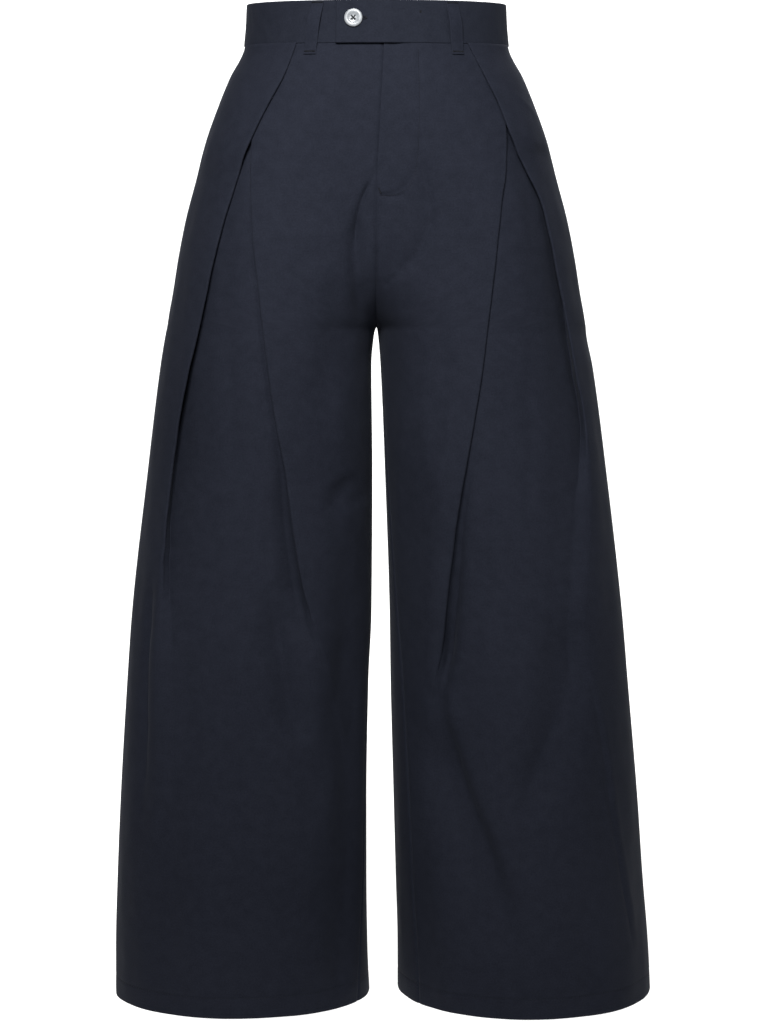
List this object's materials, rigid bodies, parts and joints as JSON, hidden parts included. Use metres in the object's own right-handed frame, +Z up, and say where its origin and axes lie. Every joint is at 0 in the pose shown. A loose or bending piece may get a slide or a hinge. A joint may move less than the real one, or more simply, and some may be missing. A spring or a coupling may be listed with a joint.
{
  "type": "wide-leg trousers",
  "caption": "Hollow worn trousers with a fitted waistband, tab and button, belt loops, a fly, one deep inverted pleat in each front and wide straight legs open at the hem",
  "frame": {"origin": "the middle of the waist opening, half way up the waistband at its sides", "axes": "+Z up, +X the wearer's left, -Y the front; the trousers hang down -Z"},
  "size_m": [0.5455, 0.2547, 1.0112],
  "materials": {
    "cloth": "smooth dark navy suiting, fine twill, soft sheen",
    "waistband_cloth": "the same suiting over a firm band",
    "button_plastic": "pale grey, four holes",
    "zip_tape": "dark woven tape with plastic teeth"
  },
  "bodies": {
    "root": {"front_right": "cloth", "front_left": "cloth", "back_right": "cloth", "back_left": "cloth", "waistband_right": "waistband_cloth", "waistband_left": "waistband_cloth", "fly_shield": "cloth", "zip": "zip_tape", "belt_loop_front_right": "cloth", "belt_loop_front_left": "cloth", "belt_loop_side_right": "cloth", "belt_loop_side_left": "cloth", "belt_loop_back": "cloth", "button": "button_plastic"}
  },
  "joints": []
}
